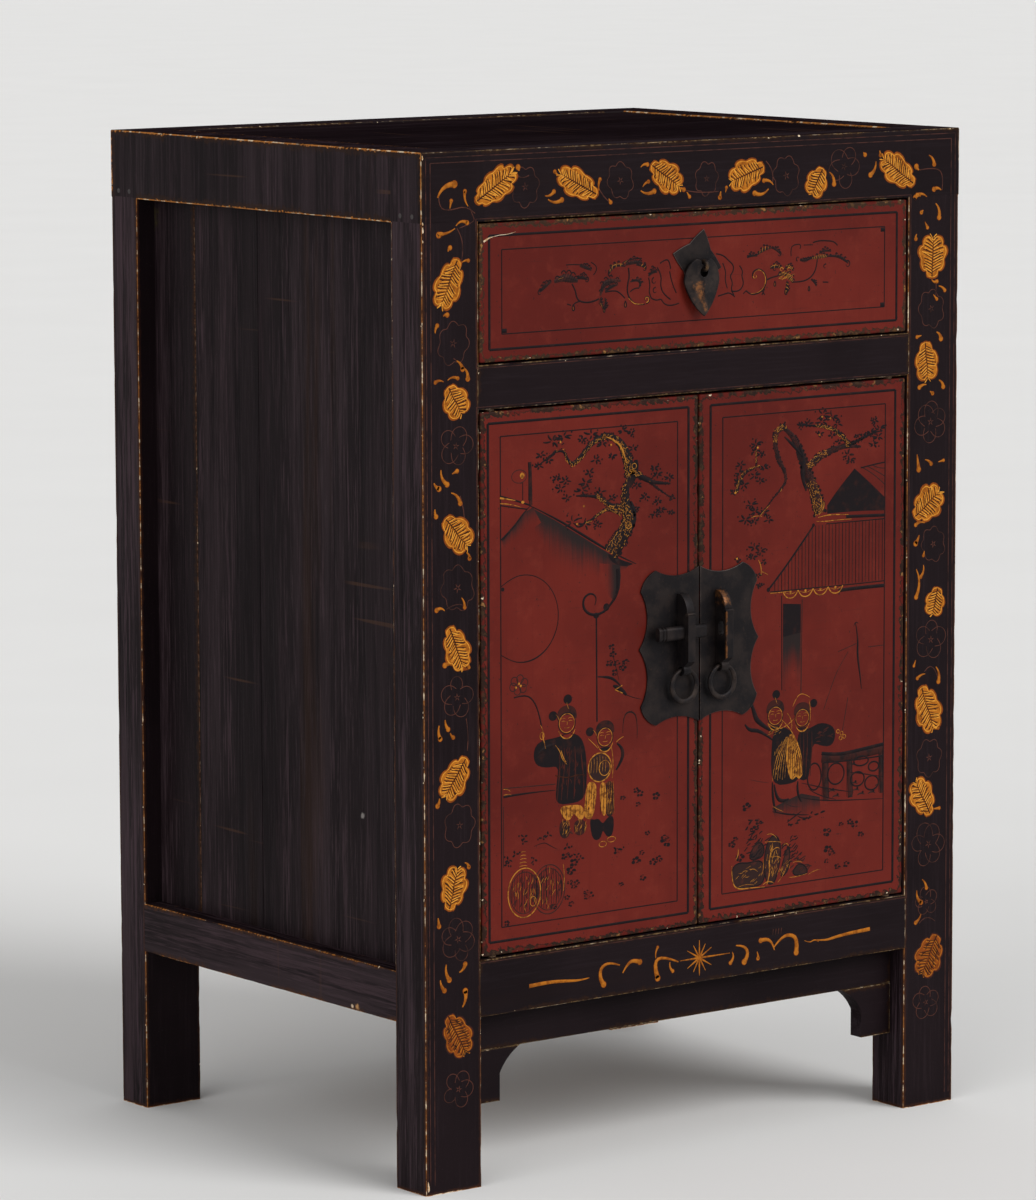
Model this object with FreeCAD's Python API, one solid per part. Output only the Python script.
import FreeCAD, Part
import math
import os

# A side cabinet with one drawer over two doors, standing on its own four posts, in lacquered wood
# with dark metal hardware.  Millimetres.  X runs across the front, Y to the back, Z up.  The origin is
# on the floor, midway between the sides and midway between the lock's front edge and the posts' back.

V = FreeCAD.Vector
ACROSS = V(1, 0, 0)
BACKWARD = V(0, 1, 0)
UP = V(0, 0, 1)
EPS = 0.001

# ---------------------------------------------------------------- driving sizes: carcass
HEIGHT = 840.0
WIDTH = 566.0
DEPTH = 442.0                 # front of the front posts to the back of the back posts
ARRIS = 1.0                   # eased long edges of posts and rails

POST_WIDTH = 56.0             # across the cabinet
FRONT_POST_DEPTH = 41.0
BACK_POST_DEPTH = 38.0
POST_TENON_WIDTH = 20.0       # stub on a post's head, up into the top rail
POST_TENON_DEPTH = 24.0
POST_TENON_HEIGHT = 24.0

TOP_RAIL_HEIGHT = 57.0
TOP_SIDE_RAIL_WIDTH = 41.0
DRAWER_OPENING_HEIGHT = 114.0
MID_RAIL_HEIGHT = 36.0
FRONT_RAIL_DEPTH = 36.0
LOWER_RAIL_BOTTOM = 140.0
LOWER_RAIL_HEIGHT = 47.0
SIDE_RAIL_BOTTOM = 137.0
SIDE_RAIL_HEIGHT = 42.0
SIDE_RAIL_WIDTH = 41.0
BACK_RAIL_DEPTH = 30.0
RUNNER_RAIL_DEPTH = 16.0      # inner back rail that carries the drawer runners

TENON_THICKNESS = 12.0
TENON_WALL = 8.0              # wood left beside a tenon
TENON_SHOULDER = 8.0          # rail height above and below a tenon
TENON_END_WALL = 16.0         # wood left past the end of a side rail's tenon

PANEL_TONGUE = 6.0            # how far panels enter posts and rails
SIDE_PANEL_INSET = 18.0
SIDE_PANEL_THICKNESS = 12.0
REAR_BOARD_WIDTH = 60.0       # the side's three boards; the front one takes the rest
MIDDLE_BOARD_WIDTH = 92.0
BACK_PANEL_INSET = 10.0
BACK_PANEL_THICKNESS = 9.0
BACK_BOARDS = 3

TOP_BOARD_THICKNESS = 12.0
TOP_BOARD_DROP = 1.5          # below the top frame's upper face
TOP_BOARD_TONGUE = 8.0
TOP_TONGUE_THICKNESS = 6.0
TOP_SEAM = 0.8                # open line round the top board
TOP_BATTEN_WIDTH = 30.0
TOP_BATTEN_HEIGHT = 22.0
TOP_BATTEN_SPREAD = 190.0     # between the two battens' middles
STUB = 10.0                   # stub tenons of battens and runners
STUB_SHOULDER = 6.0           # wood round a stub

FLOOR_THICKNESS = 12.0
FLOOR_REBATE = 12.0           # seat of the floor on the front lower rail
FLOOR_BACK_GAP = 0.5          # floor short of the back boards

APRON_INSET = 18.0
APRON_THICKNESS = 14.0
APRON_DROP = 32.5             # apron board below the lower rail
APRON_TONGUE = 6.0
APRON_TONGUE_THICKNESS = 4.6
APRON_TONGUE_ROOT = 4.0       # tongue carried down into the board
SPANDREL_WIDTH = 32.5
SPANDREL_DROP = 44.0
SPANDREL_CURVE = 21.0         # height and width of its inner curve
SPANDREL_BOW = 1.7            # curve's middle off its chord, sideways and up

PEG_DIAMETER = 4.0            # draw pegs through the post tenons
PEG_LENGTH = 44.0
PEG_SPACING = 16.0
PEG_RISE = 6.0                # above the top rail's lower face

STOP_LENGTH = 60.0
STOP_DEPTH = 12.0
STOP_HEIGHT = 10.0
STOP_GAP = 0.5

# ---------------------------------------------------------------- driving sizes: drawer
FACE_SETBACK = 1.0            # drawer front and doors behind the posts' front
DRAWER_GAP = 1.5              # round the drawer front
DRAWER_RIDE = 0.3             # drawer sides above their runners
DRAWER_FRONT_THICKNESS = 18.0
DRAWER_SIDE_THICKNESS = 12.0
DRAWER_SIDE_HEIGHT = 100.0
DRAWER_BACK_THICKNESS = 10.0
DRAWER_BACK_TONGUE = 4.0
DRAWER_BACK_GAP = 1.0
DRAWER_BACK_INSET = 8.0       # drawer back in from the sides' ends
DRAWER_BOTTOM_THICKNESS = 6.0
DRAWER_BOTTOM_GROOVE = 4.0
DRAWER_BOTTOM_RISE = 8.0
DRAWER_TAILS = 3
TAIL_LENGTH = 12.0
TAIL_ROOT = 14.0
TAIL_TIP = 20.0
RUNNER_WIDTH = 26.0
RUNNER_HEIGHT = 24.0
GUIDE_THICKNESS = 12.0
GUIDE_RISE = 18.0             # guide strips above the runners

PULL_PLATE_X = -2.6
PULL_PLATE_DROP = 41.5        # plate's middle below the drawer opening's top
PULL_PLATE_RADIUS = 26.4      # middle to a tip
PULL_PLATE_NOTCH = 16.4       # middle to a side's notch
PULL_PLATE_SWELL = 19.4       # middle to the swell on either side of a notch
PULL_PLATE_SWELL_TURN = 22.0  # swell round from its tip, degrees
PULL_PLATE_TURN = -15.0       # the plate sits askew, degrees
PULL_PLATE_THICKNESS = 1.2
PIN_OFFSET = 1.8              # pin to the right of the plate's middle
PIN_DROP = 2.0                # pin below the plate's middle
PIN_WIRE = 1.6                # radius of the split pin's wire
PIN_STAND_OFF = 1.1           # loop in front of the plate
PIN_LOOP_DROP = 1.9           # loop's middle below the pin's shank
PIN_LEG = 14.0                # each leg bent flat behind the drawer front
PENDANT_WIDTH = 36.8
PENDANT_DROP = 41.5           # hinge line to the tip
PENDANT_LOBE_RISE = 5.6       # lobes above the hinge line
PENDANT_LOBE_X = 7.7          # top of a lobe from the middle
PENDANT_SHOULDER_X = 15.3     # point of the outline between lobe and widest place
PENDANT_SHOULDER_DROP = 1.6
PENDANT_WAIST_DROP = 13.0     # widest place below the hinge line
PENDANT_FLANK_X = 12.9        # point of the outline between widest place and tip
PENDANT_FLANK_DROP = 26.4
PENDANT_THICKNESS = 2.0
PENDANT_FOLD = 11.0           # each half falls back from the middle ridge, degrees
PENDANT_HOLE = 4.0            # radius
PENDANT_BAR = 2.6             # height of the bar between hole and notch
PENDANT_NOTCH = 5.2           # width of the notch between the lobes
PENDANT_LIP_RISE = 3.7        # straight side of the notch, above the hinge line
PENDANT_GAP = 0.35            # loose fit of the bar in the loop

# ---------------------------------------------------------------- driving sizes: doors and lock
DOOR_THICKNESS = 18.0
DOOR_EDGE_GAP = 2.1           # beside the posts
DOOR_END_GAP = 2.0            # above and below
DOOR_MEETING_GAP = 1.6
PIVOT_INSET = 14.0            # pivot line in from the door's outer edge
PIVOT_DEPTH = 7.0             # pivot line behind the door's face
PIVOT_RADIUS = 4.0
PIVOT_FIT = 0.05
PIVOT_SEAT = 26.0             # peg inside the door
PIVOT_REACH_TOP = 12.0        # peg inside the mid rail
PIVOT_REACH_BOTTOM = 10.0     # peg inside the lower rail
PIVOT_END_GAP = 0.3
BATTEN_LENGTH = 170.0
BATTEN_HEIGHT = 40.0
BATTEN_THICKNESS = 12.0
BATTEN_HOUSING = 4.0          # set into the door's back
BATTEN_INSET = 70.0           # from a door's end to its batten

LOCK_Z = 425.0
LOCK_HALF_HEIGHT = 65.0
LOCK_HALF_WIDTH = 63.5
LOCK_TOP_DIP_X = 23.5         # outline's points in each quarter, from the plate's middle
LOCK_TOP_DIP_RISE = 58.6
LOCK_EAR_X = 46.0
LOCK_EAR_RISE = 64.2
LOCK_EAR_SWELL_X = 56.6
LOCK_EAR_SWELL_RISE = 57.6
LOCK_EAR_SIDE_X = 61.9
LOCK_EAR_SIDE_RISE = 47.5
LOCK_SIDE_DIP_X = 55.0
LOCK_SIDE_DIP_RISE = 23.5
LOCK_PLATE_THICKNESS = 1.5
LUG_X = 20.2
LUG_THICKNESS = 7.6
LUG_REACH = 14.7              # in front of the plate
LUG_SHOULDER_REACH = 12.9
LUG_TOP_RISE = 43.5           # top of the lug above the lock's middle
LUG_TOP_REACH = 4.4           # flat top, in front of the plate
LUG_BROW_REACH = 8.0          # middle of the curve from the top to the shoulder
LUG_BROW_DROP = 2.8
LUG_COLLAR = 2.0              # height of the ledge under that curve
LUG_SHOULDER_RISE = 28.0
LUG_TOE_DROP = 12.0           # lower end of the straight front edge, below the middle
EYE_DROP = 19.4               # ring eye below the lock's middle
EYE_REACH = 4.7               # ring eye in front of the plate
EYE_WALL = 2.2
EYE_HEEL_ANGLE = 37.0         # where the fin's lower end runs into the eye's boss
TANG_THICKNESS = 5.0
TANG_HEIGHT = 20.0
CLINCH_THICKNESS = 3.0
CLINCH_LENGTH = 14.0
RING_RADIUS = 13.6            # to the middle of the wire
RING_WIRE = 1.7               # radius of the wire
RING_GAP = 0.45               # loose fit of the ring in its eye

BOLT_HEIGHT = 11.6            # lock bar's section
BOLT_THICKNESS = 6.0
BOLT_RISE = 12.0              # above the lock's middle
BOLT_STAND_OFF = 4.5          # bar's back in front of the plate
BOLT_FIT = 0.3
BOLT_LENGTH = 50.0
BOLT_GROOVES = 2
BOLT_GROOVE = 1.6
BOLT_GROOVE_DEPTH = 0.8

# ---------------------------------------------------------------- places worked out from the sizes
HARDWARE_REACH = LOCK_PLATE_THICKNESS + LUG_REACH - FACE_SETBACK
FRONT = (HARDWARE_REACH - DEPTH) / 2
BACK = FRONT + DEPTH
FRONT_IN = FRONT + FRONT_POST_DEPTH
BACK_IN = BACK - BACK_POST_DEPTH
LEFT = -WIDTH / 2
IN_LEFT = LEFT + POST_WIDTH
IN_RIGHT = -IN_LEFT

TOP_RAIL_BOTTOM = HEIGHT - TOP_RAIL_HEIGHT
MID_RAIL_TOP = TOP_RAIL_BOTTOM - DRAWER_OPENING_HEIGHT
MID_RAIL_BOTTOM = MID_RAIL_TOP - MID_RAIL_HEIGHT
LOWER_RAIL_TOP = LOWER_RAIL_BOTTOM + LOWER_RAIL_HEIGHT
SIDE_RAIL_TOP = SIDE_RAIL_BOTTOM + SIDE_RAIL_HEIGHT
APRON_BOTTOM = LOWER_RAIL_BOTTOM - APRON_DROP

PANEL_OUT = LEFT + SIDE_PANEL_INSET
PANEL_IN = PANEL_OUT + SIDE_PANEL_THICKNESS
BACK_PANEL_FRONT = BACK - BACK_PANEL_INSET - BACK_PANEL_THICKNESS

FACE = FRONT + FACE_SETBACK
DRAWER_BEHIND = FACE + DRAWER_FRONT_THICKNESS
DOOR_BEHIND = FACE + DOOR_THICKNESS
DOOR_OUTER = IN_LEFT + DOOR_EDGE_GAP
DOOR_INNER = -DOOR_MEETING_GAP / 2
DOOR_BOTTOM = LOWER_RAIL_TOP + DOOR_END_GAP
DOOR_TOP = MID_RAIL_BOTTOM - DOOR_END_GAP
PIVOT_X = DOOR_OUTER + PIVOT_INSET
PIVOT_Y = FACE + PIVOT_DEPTH

PLATE_FACE = FACE - LOCK_PLATE_THICKNESS
RING_SAG = RING_RADIUS - math.sqrt(RING_RADIUS ** 2 - (LUG_THICKNESS / 2) ** 2)
EYE_RADIUS = RING_WIRE + RING_SAG + RING_GAP
EYE_Y = PLATE_FACE - EYE_REACH
EYE_Z = LOCK_Z - EYE_DROP
BOLT_Y = PLATE_FACE - BOLT_STAND_OFF - BOLT_THICKNESS / 2
BOLT_Z = LOCK_Z + BOLT_RISE

PULL_FACE = FACE - PULL_PLATE_THICKNESS
PULL_PLATE_Z = TOP_RAIL_BOTTOM - PULL_PLATE_DROP
FOLD_SLOPE = math.tan(math.radians(PENDANT_FOLD))
BAR_HALF_DIAGONAL = math.hypot(PENDANT_BAR / 2, PENDANT_THICKNESS / 2 + PIN_WIRE * FOLD_SLOPE)
LOOP_RADIUS = BAR_HALF_DIAGONAL + PENDANT_GAP + PIN_WIRE
PIN_X = PULL_PLATE_X + PIN_OFFSET
PIN_Z = PULL_PLATE_Z - PIN_DROP
LOOP_Y = PULL_FACE - PIN_STAND_OFF - PIN_WIRE - LOOP_RADIUS
LOOP_Z = PIN_Z - PIN_LOOP_DROP


# ---------------------------------------------------------------- helpers
def box(x0, x1, y0, y1, z0, z1):
    return Part.makeBox(x1 - x0, y1 - y0, z1 - z0, V(x0, y0, z0))


def cylinder(radius, length, start, direction):
    return Part.makeCylinder(radius, length, start, direction)


def timber(x0, x1, y0, y1, z0, z1, along):
    """A squared timber with its long arrises eased."""
    block = box(x0, x1, y0, y1, z0, z1)
    arrises = [e for e in block.Edges if abs(e.tangentAt(e.FirstParameter).dot(along)) > 1 - EPS]
    return block.makeFillet(ARRIS, arrises)


def joined(*solids):
    whole = solids[0]
    for solid in solids[1:]:
        whole = whole.fuse(solid)
    return whole.removeSplitter()


def cut(shape, *tools):
    for tool in tools:
        shape = shape.cut(tool)
    return shape.Solids[0] if len(shape.Solids) == 1 else shape


def mirrored(shape):
    return shape.mirror(V(0, 0, 0), ACROSS)


def arc(a, b, c):
    return Part.Arc(a, b, c).toShape()


def line(a, b):
    return Part.LineSegment(a, b).toShape()


def slab(edges, depth):
    """A closed outline of edges, filled and given a depth."""
    return Part.Face(Part.Wire(Part.__sortEdges__(edges))).extrude(depth)


def stadium_bar(x0, x1, y, z, height, thickness):
    """A bar along X whose section is a rectangle with round upper and lower ends."""
    radius = thickness / 2
    straight = height / 2 - radius
    ends = [cylinder(radius, x1 - x0, V(x0, y, z + side * straight), ACROSS) for side in (-1, 1)]
    middle = box(x0, x1, y - radius, y + radius, z - straight, z + straight)
    return joined(middle, *ends)


def pair(nodes, pattern, left_shape):
    """Adds a left-hand piece and its mirror image."""
    nodes[pattern.format("left")] = left_shape
    nodes[pattern.format("right")] = mirrored(left_shape)


# ---------------------------------------------------------------- carcass
def post(y0, y1):
    """The left post of a front or back pair, with a stub tenon on its head."""
    x_mid = LEFT + POST_WIDTH / 2
    y_mid = (y0 + y1) / 2
    tenon = box(x_mid - POST_TENON_WIDTH / 2, x_mid + POST_TENON_WIDTH / 2,
                y_mid - POST_TENON_DEPTH / 2, y_mid + POST_TENON_DEPTH / 2,
                TOP_RAIL_BOTTOM - ARRIS, TOP_RAIL_BOTTOM + POST_TENON_HEIGHT)
    return joined(timber(LEFT, IN_LEFT, y0, y1, 0, TOP_RAIL_BOTTOM, UP), tenon)


def cross_rail(y0, y1, z0, z1):
    """A rail across the cabinet, tenoned into both posts but short of the side boards."""
    y_mid = (y0 + y1) / 2
    half = min(TENON_THICKNESS, (y1 - y0) / 2) / 2
    end = PANEL_IN + TENON_WALL / 2
    tenons = box(end, -end, y_mid - half, y_mid + half, z0 + TENON_SHOULDER, z1 - TENON_SHOULDER)
    return joined(timber(IN_LEFT, IN_RIGHT, y0, y1, z0, z1, ACROSS), tenons)


def side_rail(width, z0, z1, tenon_z0, tenon_z1):
    """The left side's rail, between the front and back posts or top rails, with its tenons."""
    tenon_x = LEFT + TENON_WALL
    tenons = box(tenon_x, tenon_x + TENON_THICKNESS, FRONT + TENON_END_WALL, BACK - TENON_END_WALL,
                 tenon_z0, tenon_z1)
    return joined(timber(LEFT, LEFT + width, FRONT_IN, BACK_IN, z0, z1, BACKWARD), tenons)


def side_boards():
    """The three vertical boards of the left side, from front to back."""
    joints = [FRONT_IN - PANEL_TONGUE,
              BACK_IN - REAR_BOARD_WIDTH - MIDDLE_BOARD_WIDTH,
              BACK_IN - REAR_BOARD_WIDTH,
              BACK_IN + PANEL_TONGUE]
    return [box(PANEL_OUT, PANEL_IN, y0, y1, SIDE_RAIL_TOP - PANEL_TONGUE, TOP_RAIL_BOTTOM + PANEL_TONGUE)
            for y0, y1 in zip(joints, joints[1:])]


def back_boards():
    x0 = IN_LEFT - PANEL_TONGUE
    width = -2 * x0 / BACK_BOARDS
    return [box(x0 + i * width, x0 + (i + 1) * width,
                BACK_PANEL_FRONT, BACK_PANEL_FRONT + BACK_PANEL_THICKNESS,
                LOWER_RAIL_TOP - PANEL_TONGUE, TOP_RAIL_BOTTOM + PANEL_TONGUE)
            for i in range(BACK_BOARDS)]


def top_board():
    """The board inside the top frame; a tongue under its rim lies in the frame's groove."""
    top = HEIGHT - TOP_BOARD_DROP
    bottom = top - TOP_BOARD_THICKNESS
    x = -LEFT - TOP_SIDE_RAIL_WIDTH
    field = box(-x + TOP_SEAM, x - TOP_SEAM, FRONT_IN + TOP_SEAM, BACK_IN - TOP_SEAM, bottom, top)
    tongue = box(-x - TOP_BOARD_TONGUE, x + TOP_BOARD_TONGUE,
                 FRONT_IN - TOP_BOARD_TONGUE, BACK_IN + TOP_BOARD_TONGUE,
                 bottom, bottom + TOP_TONGUE_THICKNESS)
    return joined(field, tongue)


def top_batten():
    """The left one of two battens under the top board, stubbed into the front and back rails."""
    x = -TOP_BATTEN_SPREAD / 2
    top = HEIGHT - TOP_BOARD_DROP - TOP_BOARD_THICKNESS
    bottom = top - TOP_BATTEN_HEIGHT
    half = TOP_BATTEN_WIDTH / 2
    wood = box(x - half, x + half, FRONT_IN, BACK_IN, bottom, top)
    stubs = box(x - half + STUB_SHOULDER, x + half - STUB_SHOULDER, FRONT_IN - STUB, BACK_IN + STUB,
                bottom + STUB_SHOULDER, top - STUB_SHOULDER)
    return joined(wood, stubs)


def floor_board():
    """The cupboard's floor, level with the front lower rail and notched round the four posts."""
    board = box(PANEL_IN, -PANEL_IN, FRONT + FRONT_RAIL_DEPTH - FLOOR_REBATE,
                BACK_PANEL_FRONT - FLOOR_BACK_GAP, LOWER_RAIL_TOP - FLOOR_THICKNESS, LOWER_RAIL_TOP)
    for y0, y1 in ((FRONT, FRONT_IN), (BACK_IN, BACK)):
        corner = box(LEFT, IN_LEFT, y0, y1, 0, HEIGHT)
        board = cut(board, corner, mirrored(corner))
    return board


def runner():
    """The left drawer runner, level with the mid rail and stubbed into the rails at its ends."""
    y0 = FRONT + FRONT_RAIL_DEPTH
    bottom = MID_RAIL_TOP - RUNNER_HEIGHT
    wood = box(IN_LEFT, IN_LEFT + RUNNER_WIDTH, y0, BACK_IN, bottom, MID_RAIL_TOP)
    stubs = box(IN_LEFT + STUB_SHOULDER, IN_LEFT + RUNNER_WIDTH - STUB_SHOULDER, y0 - STUB, BACK_IN + STUB,
                bottom + STUB_SHOULDER, MID_RAIL_TOP - STUB_SHOULDER)
    return joined(wood, stubs)


def guide():
    """The left guide strip, outside the runner and between the two left posts."""
    return box(IN_LEFT - GUIDE_THICKNESS, IN_LEFT, FRONT_IN, BACK_IN,
               MID_RAIL_TOP - RUNNER_HEIGHT, MID_RAIL_TOP + GUIDE_RISE)


def apron_board():
    y0 = FRONT + APRON_INSET
    tongue_y = y0 + (APRON_THICKNESS - APRON_TONGUE_THICKNESS) / 2
    board = box(IN_LEFT, IN_RIGHT, y0, y0 + APRON_THICKNESS, APRON_BOTTOM, LOWER_RAIL_BOTTOM)
    tongue = box(IN_LEFT, IN_RIGHT, tongue_y, tongue_y + APRON_TONGUE_THICKNESS,
                 LOWER_RAIL_BOTTOM - APRON_TONGUE_ROOT, LOWER_RAIL_BOTTOM + APRON_TONGUE)
    return joined(board, tongue)


def spandrel():
    """The left bracket under the apron: straight inner edge, then a hollow curve up to the apron."""
    y0 = FRONT + APRON_INSET
    inner = IN_LEFT + SPANDREL_WIDTH
    foot = APRON_BOTTOM - SPANDREL_DROP
    bend = APRON_BOTTOM - SPANDREL_CURVE
    tip = inner + SPANDREL_CURVE
    hollow = V((inner + tip) / 2 - SPANDREL_BOW, y0, (bend + APRON_BOTTOM) / 2 + SPANDREL_BOW)
    corners = [V(inner, y0, bend), V(inner, y0, foot), V(IN_LEFT, y0, foot),
               V(IN_LEFT, y0, APRON_BOTTOM), V(tip, y0, APRON_BOTTOM)]
    edges = [line(a, b) for a, b in zip(corners, corners[1:])]
    edges.append(arc(corners[-1], hollow, corners[0]))
    return slab(edges, V(0, APRON_THICKNESS, 0))


def frame_pegs():
    """Pairs of draw pegs driven from the sides through the rail ends and the post tenons."""
    pegs = []
    z = TOP_RAIL_BOTTOM + PEG_RISE
    for y_mid in ((FRONT + FRONT_IN) / 2, (BACK_IN + BACK) / 2):
        for side in (-1, 1):
            peg = cylinder(PEG_DIAMETER / 2, PEG_LENGTH, V(LEFT, y_mid + side * PEG_SPACING / 2, z), ACROSS)
            pegs += [peg, mirrored(peg)]
    return Part.makeCompound(pegs)


def door_stops():
    """Blocks behind the meeting of the doors, under the mid rail and on the floor."""
    y0 = DOOR_BEHIND + STOP_GAP
    half = STOP_LENGTH / 2
    return Part.makeCompound([
        box(-half, half, y0, y0 + STOP_DEPTH, z, z + STOP_HEIGHT)
        for z in (MID_RAIL_BOTTOM - STOP_HEIGHT, LOWER_RAIL_TOP)
    ])


def pivot_sockets():
    """Room for the left door's pegs in the mid rail and the lower rail."""
    radius = PIVOT_RADIUS + PIVOT_FIT
    top = cylinder(radius, PIVOT_REACH_TOP + PIVOT_END_GAP, V(PIVOT_X, PIVOT_Y, MID_RAIL_BOTTOM), UP)
    bottom = cylinder(radius, PIVOT_REACH_BOTTOM + PIVOT_END_GAP, V(PIVOT_X, PIVOT_Y, LOWER_RAIL_TOP), -UP)
    return top, bottom


def carcass():
    nodes = {}
    pegs = frame_pegs()
    floor = floor_board()
    board_top = top_board()
    apron = apron_board()
    sides = side_boards()
    backs = back_boards()
    boards = sides + [mirrored(board) for board in sides] + backs
    battens = [top_batten(), mirrored(top_batten())]
    runners = [runner(), mirrored(runner())]
    sockets = list(pivot_sockets()) + [mirrored(socket) for socket in pivot_sockets()]

    top_side = side_rail(TOP_SIDE_RAIL_WIDTH, TOP_RAIL_BOTTOM, HEIGHT,
                         TOP_RAIL_BOTTOM + POST_TENON_HEIGHT + TENON_WALL / 2, HEIGHT - TENON_SHOULDER)
    lower_side = side_rail(SIDE_RAIL_WIDTH, SIDE_RAIL_BOTTOM, SIDE_RAIL_TOP,
                           SIDE_RAIL_BOTTOM + TENON_SHOULDER, SIDE_RAIL_TOP - TENON_SHOULDER)
    top_side = cut(top_side, board_top, *sides)
    lower_side = cut(lower_side, floor, *sides)
    side_rails = [top_side, mirrored(top_side), lower_side, mirrored(lower_side)]

    mid_front = cross_rail(FRONT, FRONT + FRONT_RAIL_DEPTH, MID_RAIL_BOTTOM, MID_RAIL_TOP)
    mid_back = cross_rail(BACK_IN, BACK_IN + RUNNER_RAIL_DEPTH, MID_RAIL_BOTTOM, MID_RAIL_TOP)
    lower_front = cross_rail(FRONT, FRONT + FRONT_RAIL_DEPTH, LOWER_RAIL_BOTTOM, LOWER_RAIL_TOP)
    lower_back = cross_rail(BACK - BACK_RAIL_DEPTH, BACK, LOWER_RAIL_BOTTOM, LOWER_RAIL_TOP)
    nodes["mid_rail_front"] = cut(mid_front, *runners, *sockets)
    nodes["mid_rail_back"] = cut(mid_back, *runners)
    nodes["lower_rail_front"] = cut(lower_front, floor, apron, *sockets)
    nodes["lower_rail_back"] = cut(lower_back, floor, *backs)
    cross_rails = [mid_front, mid_back, lower_front, lower_back]

    heads = []
    for end, y0, y1 in (("front", FRONT, FRONT_IN), ("back", BACK_IN, BACK)):
        blank = post(y0, y1)
        heads += [blank, mirrored(blank)]
        pair(nodes, "post_" + end + "_{}", cut(blank, *side_rails, *cross_rails, *boards, pegs))
    for end, y0, y1 in (("front", FRONT, FRONT_IN), ("back", BACK_IN, BACK)):
        rail = timber(LEFT, -LEFT, y0, y1, TOP_RAIL_BOTTOM, HEIGHT, ACROSS)
        nodes["top_rail_" + end] = cut(rail, *heads, *side_rails, *boards, *battens, board_top, pegs)

    pair(nodes, "top_rail_{}", top_side)
    pair(nodes, "lower_rail_{}", lower_side)
    pair(nodes, "top_batten_{}", battens[0])
    pair(nodes, "drawer_runner_{}", runners[0])
    pair(nodes, "drawer_guide_{}", guide())
    pair(nodes, "spandrel_{}", spandrel())
    for place, board in zip(("front", "middle", "rear"), sides):
        pair(nodes, "side_board_{}_" + place, board)
    for number, board in enumerate(backs, 1):
        nodes["back_board_" + str(number)] = board
    nodes["top_board"] = board_top
    nodes["floor_board"] = floor
    nodes["apron_board"] = apron
    nodes["frame_pegs"] = pegs
    nodes["door_stops"] = door_stops()
    return nodes


# ---------------------------------------------------------------- drawer
def drawer_side():
    """The left drawer side, with dovetails at its front end."""
    x0 = IN_LEFT + DRAWER_GAP
    x1 = x0 + DRAWER_SIDE_THICKNESS
    z0 = MID_RAIL_TOP + DRAWER_RIDE
    side = box(x0, x1, DRAWER_BEHIND, BACK_IN - DRAWER_BACK_GAP, z0, z0 + DRAWER_SIDE_HEIGHT)
    pitch = DRAWER_SIDE_HEIGHT / DRAWER_TAILS
    tip_y = DRAWER_BEHIND - TAIL_LENGTH
    for i in range(DRAWER_TAILS):
        z = z0 + (i + 0.5) * pitch
        corners = [V(x0, DRAWER_BEHIND, z - TAIL_ROOT / 2), V(x0, tip_y, z - TAIL_TIP / 2),
                   V(x0, tip_y, z + TAIL_TIP / 2), V(x0, DRAWER_BEHIND, z + TAIL_ROOT / 2)]
        tail = Part.Face(Part.makePolygon(corners + corners[:1])).extrude(V(x1 - x0, 0, 0))
        side = side.fuse(tail)
    return side.removeSplitter()


def pull_plate():
    """A four-pointed plate, each side notched in the middle, set askew on the drawer front."""
    def point(radius, degrees):
        angle = math.radians(degrees + 90 + PULL_PLATE_TURN)
        return V(PULL_PLATE_X + radius * math.cos(angle), PULL_FACE, PULL_PLATE_Z + radius * math.sin(angle))

    edges = []
    for tip in (0, 90, 180, 270):
        notch = point(PULL_PLATE_NOTCH, tip + 45)
        swells = [point(PULL_PLATE_SWELL, tip + PULL_PLATE_SWELL_TURN),
                  point(PULL_PLATE_SWELL, tip + 90 - PULL_PLATE_SWELL_TURN)]
        edges.append(arc(point(PULL_PLATE_RADIUS, tip), swells[0], notch))
        edges.append(arc(notch, swells[1], point(PULL_PLATE_RADIUS, tip + 90)))
    return slab(edges, V(0, PULL_PLATE_THICKNESS, 0))


def pull_pin():
    """A split pin: a loop in front of the plate, a shank through the front, two legs bent flat."""
    back = DRAWER_BEHIND + PIN_WIRE
    loop = Part.makeTorus(LOOP_RADIUS, PIN_WIRE, V(PIN_X, LOOP_Y, LOOP_Z), ACROSS)
    start = LOOP_Y + math.sqrt(LOOP_RADIUS ** 2 - PIN_LOOP_DROP ** 2)
    shank = cylinder(PIN_WIRE, back - start, V(PIN_X, start, PIN_Z), BACKWARD)
    legs = cylinder(PIN_WIRE, 2 * PIN_LEG, V(PIN_X, back, PIN_Z - PIN_LEG), UP)
    return joined(loop, shank, legs)


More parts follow.
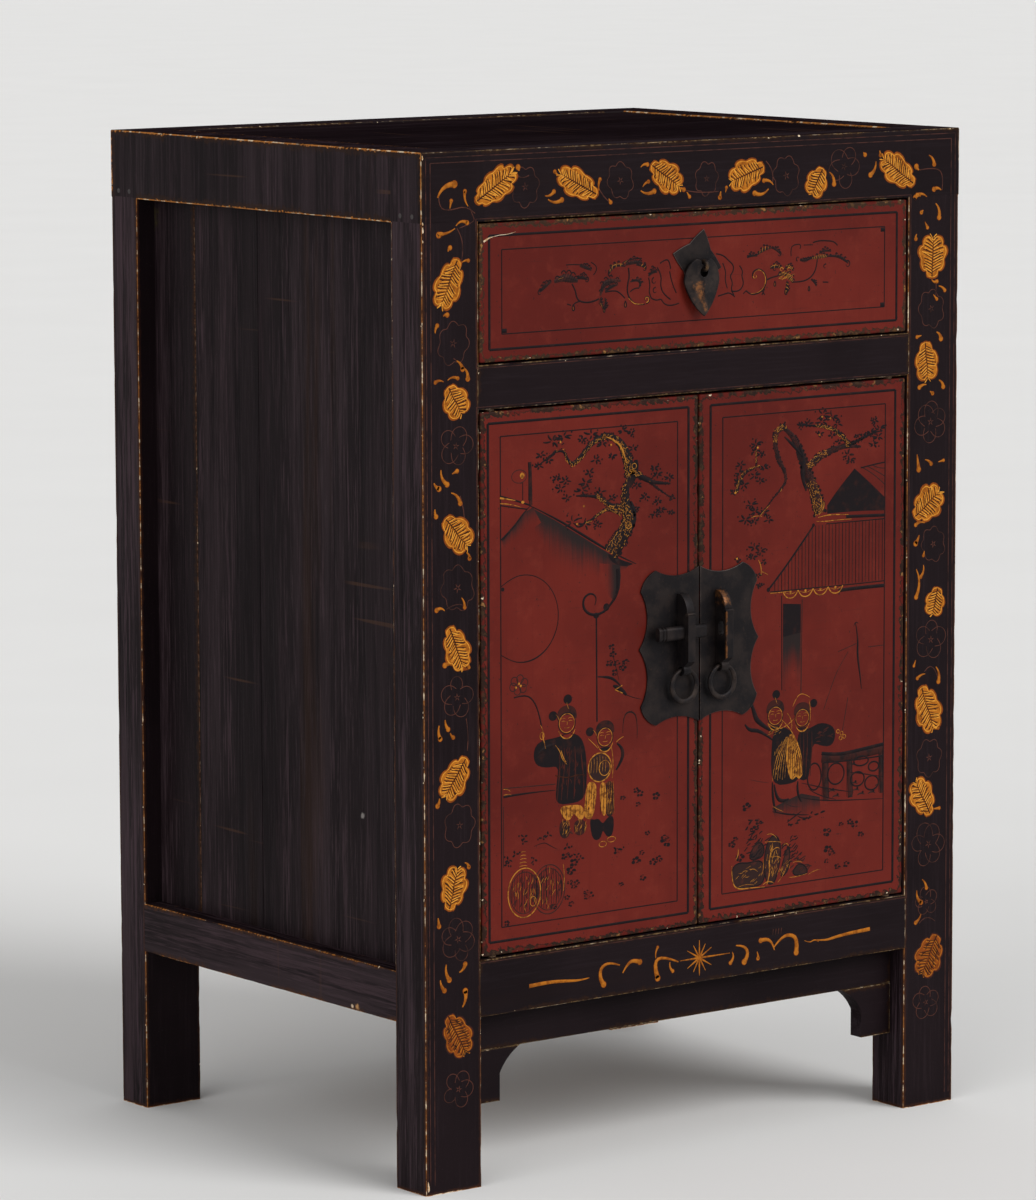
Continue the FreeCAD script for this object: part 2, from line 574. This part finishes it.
def pendant():
    """A heart-shaped drop, folded along its middle, whose bar hangs in the pin's loop."""
    half = PENDANT_WIDTH / 2
    front_y = LOOP_Y - PENDANT_THICKNESS / 2
    fall = 2 * half * FOLD_SLOPE

    def at(x, rise):
        return V(PIN_X + x, front_y - 1, LOOP_Z + rise)

    edges = [line(at(-PENDANT_NOTCH / 2, PENDANT_BAR / 2), at(PENDANT_NOTCH / 2, PENDANT_BAR / 2))]
    for side in (-1, 1):
        notch = side * PENDANT_NOTCH / 2
        lip = at(notch, PENDANT_LIP_RISE)
        lobe = at(side * PENDANT_LOBE_X, PENDANT_LOBE_RISE)
        waist = at(side * half, -PENDANT_WAIST_DROP)
        lobe_start = at((notch + side * PENDANT_LOBE_X) / 2, (PENDANT_LIP_RISE + 3 * PENDANT_LOBE_RISE) / 4)
        edges.append(line(at(notch, PENDANT_BAR / 2), lip))
        edges.append(arc(lip, lobe_start, lobe))
        edges.append(arc(lobe, at(side * PENDANT_SHOULDER_X, -PENDANT_SHOULDER_DROP), waist))
        edges.append(arc(waist, at(side * PENDANT_FLANK_X, -PENDANT_FLANK_DROP), at(0, -PENDANT_DROP)))
    outline = slab(edges, V(0, fall + PENDANT_THICKNESS + 2, 0))

    below = LOOP_Z - PENDANT_DROP - 1
    folded = [V(PIN_X + 2 * side * half, front_y + abs(side) * fall + depth, below)
              for depth, sides in ((0, (-1, 0, 1)), (PENDANT_THICKNESS, (1, 0, -1))) for side in sides]
    sheet = Part.Face(Part.makePolygon(folded + folded[:1])).extrude(V(0, 0, 2 * PENDANT_DROP))
    hole_z = LOOP_Z - PENDANT_BAR / 2 - PENDANT_HOLE
    hole = cylinder(PENDANT_HOLE, 4 * PENDANT_THICKNESS, V(PIN_X, front_y - 1, hole_z), BACKWARD)
    return cut(outline.common(sheet), hole)


def drawer():
    nodes = {}
    x = IN_RIGHT - DRAWER_GAP
    inner = x - DRAWER_SIDE_THICKNESS
    z0 = MID_RAIL_TOP + DRAWER_RIDE
    end = BACK_IN - DRAWER_BACK_GAP - DRAWER_BACK_INSET
    bottom_z = z0 + DRAWER_BOTTOM_RISE
    bottom = box(-inner - DRAWER_BOTTOM_GROOVE, inner + DRAWER_BOTTOM_GROOVE,
                 DRAWER_BEHIND - DRAWER_BOTTOM_GROOVE, end, bottom_z, bottom_z + DRAWER_BOTTOM_THICKNESS)
    back = box(-inner - DRAWER_BACK_TONGUE, inner + DRAWER_BACK_TONGUE, end - DRAWER_BACK_THICKNESS, end,
               bottom_z + DRAWER_BOTTOM_THICKNESS, z0 + DRAWER_SIDE_HEIGHT)
    side = cut(drawer_side(), bottom, back)
    plate = pull_plate()
    pin = pull_pin()
    front = box(-x, x, FACE, DRAWER_BEHIND, MID_RAIL_TOP + DRAWER_GAP, TOP_RAIL_BOTTOM - DRAWER_GAP)
    nodes["drawer_front"] = cut(front, drawer_side(), mirrored(drawer_side()), bottom, pin)
    pair(nodes, "drawer_side_{}", side)
    nodes["drawer_back"] = back
    nodes["drawer_bottom"] = cut(bottom, pin)
    nodes["pull_plate"] = cut(plate, pin)
    nodes["pull_pin"] = pin
    nodes["pull_pendant"] = pendant()
    return nodes


# ---------------------------------------------------------------- doors
def door_pivots():
    """The left door's round pegs, at the top and bottom of its outer edge."""
    top = cylinder(PIVOT_RADIUS, PIVOT_SEAT + DOOR_END_GAP + PIVOT_REACH_TOP,
                   V(PIVOT_X, PIVOT_Y, DOOR_TOP - PIVOT_SEAT), UP)
    bottom = cylinder(PIVOT_RADIUS, PIVOT_SEAT + DOOR_END_GAP + PIVOT_REACH_BOTTOM,
                      V(PIVOT_X, PIVOT_Y, DOOR_BOTTOM + PIVOT_SEAT), -UP)
    return Part.makeCompound([top, bottom])


def door_batten(z0):
    x_mid = (DOOR_OUTER + DOOR_INNER) / 2
    return box(x_mid - BATTEN_LENGTH / 2, x_mid + BATTEN_LENGTH / 2, DOOR_BEHIND - BATTEN_HOUSING,
               DOOR_BEHIND - BATTEN_HOUSING + BATTEN_THICKNESS, z0, z0 + BATTEN_HEIGHT)


def lock_plate():
    """The left half of the lock plate, whose scalloped outline has a cusp in the middle of each side."""
    def at(x, z):
        return V(x, PLATE_FACE, LOCK_Z + z)

    edges = []
    for sx in (-1, 1):
        for sz in (-1, 1):
            cusp_top = at(0, LOCK_HALF_HEIGHT * sz)
            ear = at(LOCK_EAR_X * sx, LOCK_EAR_RISE * sz)
            ear_side = at(LOCK_EAR_SIDE_X * sx, LOCK_EAR_SIDE_RISE * sz)
            cusp_side = at(LOCK_HALF_WIDTH * sx, 0)
            edges.append(arc(cusp_top, at(LOCK_TOP_DIP_X * sx, LOCK_TOP_DIP_RISE * sz), ear))
            edges.append(arc(ear, at(LOCK_EAR_SWELL_X * sx, LOCK_EAR_SWELL_RISE * sz), ear_side))
            edges.append(arc(ear_side, at(LOCK_SIDE_DIP_X * sx, LOCK_SIDE_DIP_RISE * sz), cusp_side))
    whole = slab(edges, V(0, LOCK_PLATE_THICKNESS, 0))
    half = box(-2 * LOCK_HALF_WIDTH, DOOR_INNER, PLATE_FACE - 1, FACE + 1,
               LOCK_Z - 2 * LOCK_HALF_HEIGHT, LOCK_Z + 2 * LOCK_HALF_HEIGHT)
    return whole.common(half).Solids[0]


def lug():
    """The left lug: a fin with a slot for the lock bar, an eye for the ring and a tang through the door."""
    x0 = -LUG_X - LUG_THICKNESS / 2
    x1 = x0 + LUG_THICKNESS

    def at(reach, rise):
        return V(x0, PLATE_FACE - reach, LOCK_Z + rise)

    boss_radius = EYE_RADIUS + EYE_WALL
    heel = math.radians(EYE_HEEL_ANGLE)
    top = at(LUG_TOP_REACH, LUG_TOP_RISE)
    brow = at(LUG_BROW_REACH, LUG_TOP_RISE - LUG_BROW_DROP)
    collar = at(LUG_SHOULDER_REACH, LUG_SHOULDER_RISE + LUG_COLLAR)
    corners = [collar, at(LUG_SHOULDER_REACH, LUG_SHOULDER_RISE),
               at(LUG_REACH, LUG_SHOULDER_RISE - LUG_COLLAR / 2), at(LUG_REACH, -LUG_TOE_DROP),
               at(EYE_REACH + boss_radius * math.cos(heel), -EYE_DROP + boss_radius * math.sin(heel)),
               at(EYE_REACH, -EYE_DROP), at(0, -EYE_DROP), at(0, LUG_TOP_RISE), top]
    edges = [arc(top, brow, collar)] + [line(a, b) for a, b in zip(corners, corners[1:])]
    fin = slab(edges, V(LUG_THICKNESS, 0, 0))
    boss = cylinder(boss_radius, LUG_THICKNESS, V(x0, EYE_Y, EYE_Z), ACROSS)
    behind = box(x0 - 1, x1 + 1, PLATE_FACE, PLATE_FACE + 2 * boss_radius, EYE_Z - 2 * boss_radius,
                 EYE_Z + 2 * boss_radius)
    fin = joined(fin, boss.cut(behind))
    tang_x = -LUG_X - TANG_THICKNESS / 2
    tang_z = LOCK_Z - TANG_HEIGHT / 2
    tang = box(tang_x, tang_x + TANG_THICKNESS, PLATE_FACE, DOOR_BEHIND + CLINCH_THICKNESS,
               tang_z, tang_z + TANG_HEIGHT)
    clinch = box(tang_x, tang_x + TANG_THICKNESS, DOOR_BEHIND, DOOR_BEHIND + CLINCH_THICKNESS,
                 tang_z, tang_z + TANG_HEIGHT + CLINCH_LENGTH)
    eye = cylinder(EYE_RADIUS, LUG_THICKNESS + 2, V(x0 - 1, EYE_Y, EYE_Z), ACROSS)
    slot = stadium_bar(x0 - 1, x1 + 1, BOLT_Y, BOLT_Z,
                       BOLT_HEIGHT + 2 * BOLT_FIT, BOLT_THICKNESS + 2 * BOLT_FIT)
    return cut(joined(fin, tang, clinch), eye, slot)


def ring():
    """The left ring, hanging in its lug's eye."""
    return Part.makeTorus(RING_RADIUS, RING_WIRE, V(-LUG_X, EYE_Y, EYE_Z - RING_RADIUS), BACKWARD)


def lock_bar():
    """The lock bar, drawn back in the left lug to free both doors, with a grooved tail."""
    x0 = DOOR_INNER - BOLT_LENGTH
    bar = stadium_bar(x0, DOOR_INNER, BOLT_Y, BOLT_Z, BOLT_HEIGHT, BOLT_THICKNESS)
    for i in range(1, BOLT_GROOVES + 1):
        g0 = x0 + 2 * i * BOLT_GROOVE
        outer = stadium_bar(g0, g0 + BOLT_GROOVE, BOLT_Y, BOLT_Z, BOLT_HEIGHT + 2, BOLT_THICKNESS + 2)
        core = stadium_bar(g0, g0 + BOLT_GROOVE, BOLT_Y, BOLT_Z, BOLT_HEIGHT - 2 * BOLT_GROOVE_DEPTH,
                           BOLT_THICKNESS - 2 * BOLT_GROOVE_DEPTH)
        bar = bar.cut(outer.cut(core))
    return bar


def doors():
    nodes = {}
    pivots = door_pivots()
    battens = [door_batten(DOOR_TOP - BATTEN_INSET - BATTEN_HEIGHT), door_batten(DOOR_BOTTOM + BATTEN_INSET)]
    left_lug = lug()
    board = timber(DOOR_OUTER, DOOR_INNER, FACE, DOOR_BEHIND, DOOR_BOTTOM, DOOR_TOP, UP)
    pair(nodes, "{}_door_board", cut(board, pivots, left_lug, *battens))
    pair(nodes, "{}_door_batten_top", battens[0])
    pair(nodes, "{}_door_batten_bottom", battens[1])
    pair(nodes, "{}_door_pivots", pivots)
    pair(nodes, "{}_lock_plate", cut(lock_plate(), left_lug))
    pair(nodes, "{}_lug", left_lug)
    pair(nodes, "{}_ring", ring())
    nodes["lock_bar"] = lock_bar()
    return nodes


def main():
    os.makedirs("parts", exist_ok=True)
    nodes = {**carcass(), **drawer(), **doors()}
    for name, shape in nodes.items():
        if not shape.isValid() or not shape.Solids:
            raise ValueError(name + " is not a sound solid")
        shape.exportStep("parts/" + name + ".step")
        box_size = shape.BoundBox
        print(f"{name}: {len(shape.Solids)} solid(s), {shape.Volume / 1000:.1f} cm3, "
              f"{box_size.XLength:.1f} x {box_size.YLength:.1f} x {box_size.ZLength:.1f}")
    print(len(nodes), "nodes")


main()
